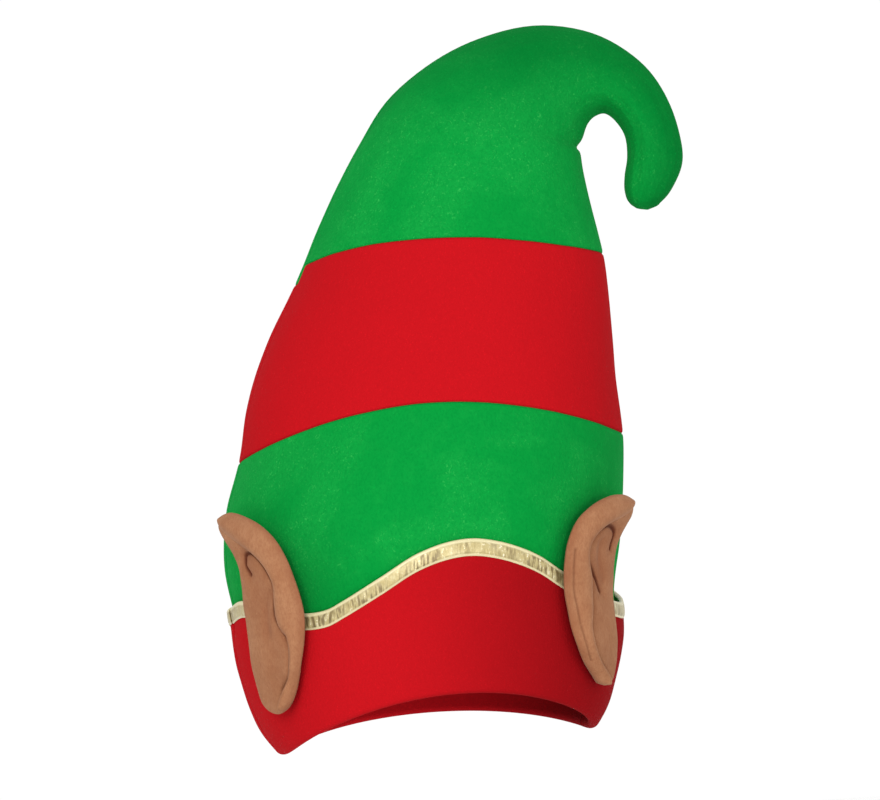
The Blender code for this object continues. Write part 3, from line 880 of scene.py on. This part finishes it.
def binding_face(turn, radius, sizes, press):
    """One face of the binding: up the cuff's outside, half a circle of the radius over its edge and
    down inside. It follows the cuff's relief, and a press draws its sewn lower edge to the cuff."""
    top = cuff_top(turn)
    middle = cuff_middle(top, turn, sizes.cloth)
    low = np.linspace(BINDING_OUTSIDE, 0, 30)[:-1, None]
    near = cuff_middle(top - low, turn, sizes.cloth) + cuff_relief(top - low, turn, sizes)
    swell = 0.1 * np.sin(turn * 61 + low * 0.6) * np.sin(turn * 23 + 1)
    swell = swell + 0.22 * np.sin(np.pi * low / BINDING_OUTSIDE)
    sewn = press * np.exp(-(((low - BINDING_OUTSIDE) / 0.5) ** 2))
    sewn = sewn + 0.6 * press * np.exp(-(((low - BINDING_OUTSIDE + 1.3) / 0.28) ** 2))
    outside = layer(top - low, turn, near + radius + swell - sewn)
    angle = np.linspace(0, np.pi, 11)[:, None]
    lean = cuff_relief(top, turn, sizes) * (1 + np.cos(angle)) / 2
    over = layer(top + radius * np.sin(angle), turn, middle + radius * np.cos(angle) + lean)
    down = np.linspace(0, BINDING_INSIDE, 6)[1:, None]
    inside = layer(top - down, turn, cuff_middle(top - down, turn, sizes.cloth) - radius)
    return np.concatenate([outside, over, inside])


class HAT_OT_binding(bpy.types.Operator):
    """Bind the cuff's waved edge with gold trim"""

    bl_idname = "hat.binding"
    bl_label = "Gold binding"

    def execute(self, context):
        sizes = context.scene.hat_sizes
        inside = sizes.cloth / 2 + 0.1
        for half in ("front", "back"):
            turn = half_turns(half, 560)[None, :]
            outer = part_halves(binding_face(turn, inside + 0.55, sizes, 0.4), half)
            inner = part_halves(binding_face(turn, inside, sizes, 0.0), half)
            down = np.arange(outer.shape[0])[:, None] / 29
            middle = ease(0.1, 0.2, down) * (1 - ease(0.88, 1.02, down))
            values = {"middle": np.broadcast_to(middle, outer.shape[:2])}
            gold = [hat_material("gold binding")]
            trim = shell(f"binding_trim_{half}", outer, inner, gold, values)
            dress(trim, [f"binding_{half}"], "gold_trim")
        return {"FINISHED"}


def from_line(share, along, line):
    """The least distance in millimetres from places on an ear to a line of points on it."""
    least = np.full(np.broadcast(share, along).shape, np.inf)
    for start, end in zip(line[:-1], line[1:]):
        a = np.array([start.share * EAR_WIDTH, start.along])
        b = np.array([end.share * EAR_WIDTH, end.along])
        x, y = share * EAR_WIDTH - a[0], along - a[1]
        step = b - a
        t = np.clip((x * step[0] + y * step[1]) / (step @ step), 0, 1)
        least = np.minimum(least, np.hypot(x - t * step[0], y - t * step[1]))
    return least


def smooth_line(line, steps=6):
    """A line of points on a curve through a table's points."""
    table = np.array(line, float)
    at = np.linspace(0, len(table) - 1, (len(table) - 1) * steps + 1)
    points = between_rows(at, np.arange(len(table), dtype=float), table)
    return [Crease(*point) for point in points]


def ear_seat(along):
    """How far an ear's back is from the crown: over the cuff and binding, then out to the tip."""
    seat = 2.3 + 2.2 * ease(0, 20, along)
    return seat + 3 * ease(62, 88, along) + 1.5 * ease(12, -6, along)


def ear_place(rows, at, across):
    """Turn in radians and height of places on an ear, by row and by share of the way across. A root
    of a high power narrows the first and last rows to rounded ends."""
    table = np.array(rows, float)
    knots = np.arange(len(table), dtype=float)
    columns = between_rows(at, knots, table).T[..., None]
    rear_turn, rear_along, front_turn, front_along, fold = columns
    round_end = np.sqrt(1 - np.abs(at[:, None] / (len(table) - 1) * 2 - 1) ** 30)
    share = 0.5 + across / 2 * round_end
    turn = np.radians(rear_turn + (front_turn - rear_turn) * share)
    return turn, rear_along + (front_along - rear_along) * share, fold


def ear_height(along, across, length, fold, creases, sizes):
    """Height of an ear's padded front over its seam, its dark stitching with painted shadow along
    the rolled crease, its painted shade at each point, and how plump it is. The plump edge is a root
    of powers of the two shares. The rim is a sine that leans towards its fold, and the bowl behind
    it a bell. Each crease is a narrow bell inside a broad one along its line, and the line sewn
    along the left ear's rim is a fine groove. The painted shade falls in the creases, the bowl and
    along the ear's front and rear edges."""
    share = (across + 1) / 2
    behind = share + 0.025
    stitched, rolled, valley = (from_line(behind, along, smooth_line(line)) for line in creases[:3])
    sewn = from_line(share, along, creases[3])
    rounded = np.clip(1 - np.abs(across) ** 3.2, 0, 1) * np.clip(1 - np.abs(length) ** 16, 0, 1)
    plump = np.sqrt(rounded)
    past = np.clip((across - fold) / (1 - fold), 0, 1)
    rim = np.sin(np.pi * past**0.75) ** (0.85 + 0.6 * ease(0.4, 0.75, length))
    rim = rim * ease(-1, -0.82, length)
    rim = rim * (1 - 0.4 * ease(0.7, 0.95, length))
    bowl = np.exp(-(((across - fold + 0.5) / 0.45) ** 2)) * ease(-0.95, -0.4, length)
    bowl = bowl * (1 - ease(0.3, 0.62, length))
    drawn = 1.2 * np.exp(-((stitched / 0.75) ** 2)) + 1.2 * np.exp(-((stitched / 3.4) ** 2))
    turned = 1.3 * np.exp(-((rolled / 1.6) ** 2)) + 0.7 * np.exp(-((rolled / 4.0) ** 2))
    soft = 0.9 * np.exp(-((valley / 2.6) ** 2))
    dents = 0.3 * np.sin(along / 5.3 + across * 3) * np.sin(along / 9.1 - across * 4)
    height = (sizes.ear_body + dents - drawn - turned - soft - 1.1 * bowl) * plump
    height = height + sizes.ear_rim * rim * plump - 0.45 * np.exp(-((sewn / 0.7) ** 2))
    # Dark stitching along the stitched and sewn lines, and a painted shadow along the rolled rim's
    # inner edge.
    thread_and_shadow = np.exp(-((stitched / 0.9) ** 4)) + 0.4 * np.exp(-((rolled / 0.8) ** 2))
    thread_and_shadow = thread_and_shadow + 0.45 * np.exp(-((sewn / 0.5) ** 2))
    # Painted shade: in the creases, the valley and the bowl, and along the front and rear edges
    # where the ear rolls away.
    shade = 0.7 * np.exp(-((stitched / 2.4) ** 2)) + 0.7 * np.exp(-((rolled / 2.2) ** 2))
    shade = shade + 0.9 * ease(0.8, 1, across) + 0.5 * ease(-0.8, -1, across)
    return height, thread_and_shadow, np.clip(shade + 0.6 * soft + 0.35 * bowl, 0, 1), plump


class HAT_OT_ears(bpy.types.Operator):
    """Sew and pad the two pointed ears, and stitch their creases"""

    bl_idname = "hat.ears"
    bl_label = "Padded ears"

    def execute(self, context):
        sizes = context.scene.hat_sizes
        right = (RIGHT_EAR_STITCHED, RIGHT_EAR_ROLLED, RIGHT_EAR_VALLEY, ())
        left = (LEFT_EAR_STITCHED, LEFT_EAR_ROLLED, LEFT_EAR_VALLEY, LEFT_EAR_SEAM)
        across = np.sin(np.linspace(-np.pi / 2, np.pi / 2, 141))[None, :]
        length = np.linspace(-1, 1, 281)[:, None]
        for side, sign, rows, creases in (
            ("right", -1, RIGHT_EAR_ROWS, right),
            ("left", 1, LEFT_EAR_ROWS, left),
        ):
            at = (length[:, 0] + 1) / 2 * (len(rows) - 1)
            turn, along, fold = ear_place(rows, at, across)
            height, thread_and_shadow, shade, plump = ear_height(along, across, length, fold, creases, sizes)
            seam = ear_seat(along) + 3.35
            front = seam + 0.15 + 0.7 * plump + height
            back = seam - 0.15 - 3.1 * plump
            place = sign * turn - EAR_TILT * (along - EAR_TILT_ABOUT) / EAR_TILT_ABOUT
            lifted = along - sign * EAR_DROP
            faces = [layer(lifted, place, offset) for offset in (front, back)]
            # The fold value carries the painted shade.
            values = {"crease": thread_and_shadow, "fold": shade}
            ear = shell(f"ear_pad_{side}", *faces, [hat_material("ear plush")], values)
            dress(ear, [f"ear_{side}_front", f"ear_{side}_back"], "ear_plush")
        return {"FINISHED"}


# The studio, in metres and watts. Each lamp is a square that faces the lit point.
Lamp = namedtuple("Lamp", "name place size power")
LAMPS = (
    Lamp("key", (-0.9, -2.3, 1.1), 1.4, 55),
    Lamp("fill", (1.8, -1.7, 0.5), 1.8, 16),
    Lamp("low", (0.2, -2.2, -0.12), 0.3, 14),
    Lamp("top", (-0.4, 0.3, 2.2), 1.6, 8),
)
LIT_POINT = (0.01, 0, 0.14)
SKY_STRENGTH = 1.02
FLOOR_HEIGHT = -0.3
FLOOR_RINGS = (0.02, 1.0, 2.0, 3.2)


class HAT_OT_stage(bpy.types.Operator):
    """Set the pale floor, the soft lights and the camera"""

    bl_idname = "hat.stage"
    bl_label = "Studio"

    def execute(self, context):
        scene = context.scene
        scene.view_settings.view_transform = "Standard"
        world = bpy.data.worlds.new("studio")
        world.use_nodes = True
        sky = world.node_tree.nodes["Background"].inputs
        sky["Color"].default_value = (1, 1, 1, 1)
        sky["Strength"].default_value = SKY_STRENGTH
        scene.world = world

        turn = np.linspace(0, 2 * np.pi, 65)[None, :-1]
        radius = np.array(FLOOR_RINGS)[:, None]
        x, y = radius * np.cos(turn), radius * np.sin(turn)
        points = np.stack([x, y, np.full_like(x, FLOOR_HEIGHT)], axis=-1) / MM
        closed = np.concatenate([points, points[:, :1]], axis=1).reshape(-1, 3)
        mesh = make_mesh("floor", closed, grid_quads(len(FLOOR_RINGS), 65))
        shader = Shader("pale floor")
        mesh.materials.append(
            shader.finish(Base_Color=(*scene.hat_colours.floor, 1), Roughness=0.8)
        )
        link(mesh, "floor")

        for lamp in LAMPS:
            add_light(*lamp)
        add_camera()
        return {"FINISHED"}


def add_light(name, place, size, power):
    """A square soft light that faces the hat."""
    light = bpy.data.lights.new(name, "AREA")
    light.size, light.energy = size, power
    lamp = bpy.data.objects.new(name, light)
    aim = Vector(LIT_POINT) - Vector(place)
    facing = aim.to_track_quat("-Z", "Y").to_matrix().to_4x4()
    lamp.matrix_world = Matrix.Translation(place) @ facing
    bpy.context.scene.collection.objects.link(lamp)


CAMERA_TURN, CAMERA_RISE, CAMERA_ROLL = np.radians((-4.0, -2.0, 4.5))
CAMERA_DISTANCE = 2.0
CAMERA_TARGET = (0.0151, 0.0, 0.1407)
PICTURE_WIDTH = 0.44


def add_camera():
    """A long lens a little below the hat and to the wearer's right, rolled as in the photo."""
    turn, rise, roll = CAMERA_TURN, CAMERA_RISE, CAMERA_ROLL
    back = np.array([np.sin(turn) * np.cos(rise), -np.cos(turn) * np.cos(rise), np.sin(rise)])
    level = np.array([np.cos(turn), np.sin(turn), 0])
    up = np.cross(back, level)
    right = np.cos(roll) * level - np.sin(roll) * up
    upright = np.sin(roll) * level + np.cos(roll) * up
    place = np.array(CAMERA_TARGET) + back * CAMERA_DISTANCE
    lens = bpy.data.cameras.new("photo view")
    lens.sensor_width = 36
    lens.lens = 36 * CAMERA_DISTANCE / PICTURE_WIDTH
    camera = bpy.data.objects.new("photo view", lens)
    axes = np.stack([right, upright, back, place], 1)
    camera.matrix_world = Matrix(np.block([[axes], [0, 0, 0, 1]]))
    bpy.context.scene.collection.objects.link(camera)
    bpy.context.scene.camera = camera


OPERATORS = (
    HAT_OT_stage,
    HAT_OT_crown,
    HAT_OT_allowances,
    HAT_OT_cuff,
    HAT_OT_binding,
    HAT_OT_ears,
)


class HAT_PT_panel(bpy.types.Panel):
    """The hat's steps, sizes and colours in the 3D view's sidebar"""

    bl_idname = "HAT_PT_panel"
    bl_label = "Elf hat"
    bl_space_type = "VIEW_3D"
    bl_region_type = "UI"
    bl_category = "Elf hat"

    def draw(self, context):
        for operator in OPERATORS:
            self.layout.operator(operator.bl_idname)
        for group in (context.scene.hat_sizes, context.scene.hat_colours):
            for key in group.__annotations__:
                self.layout.prop(group, key)


CLASSES = (HatSizes, HatColours, *OPERATORS, HAT_PT_panel)


def register():
    for cls in CLASSES:
        bpy.utils.register_class(cls)
    bpy.types.Scene.hat_sizes = bpy.props.PointerProperty(type=HatSizes)
    bpy.types.Scene.hat_colours = bpy.props.PointerProperty(type=HatColours)


def unregister():
    del bpy.types.Scene.hat_colours
    del bpy.types.Scene.hat_sizes
    for cls in reversed(CLASSES):
        bpy.utils.unregister_class(cls)


def main():
    register()
    for operator in OPERATORS:
        step = operator.bl_idname.split(".")[1]
        getattr(bpy.ops.hat, step)()


if __name__ == "__main__":
    main()
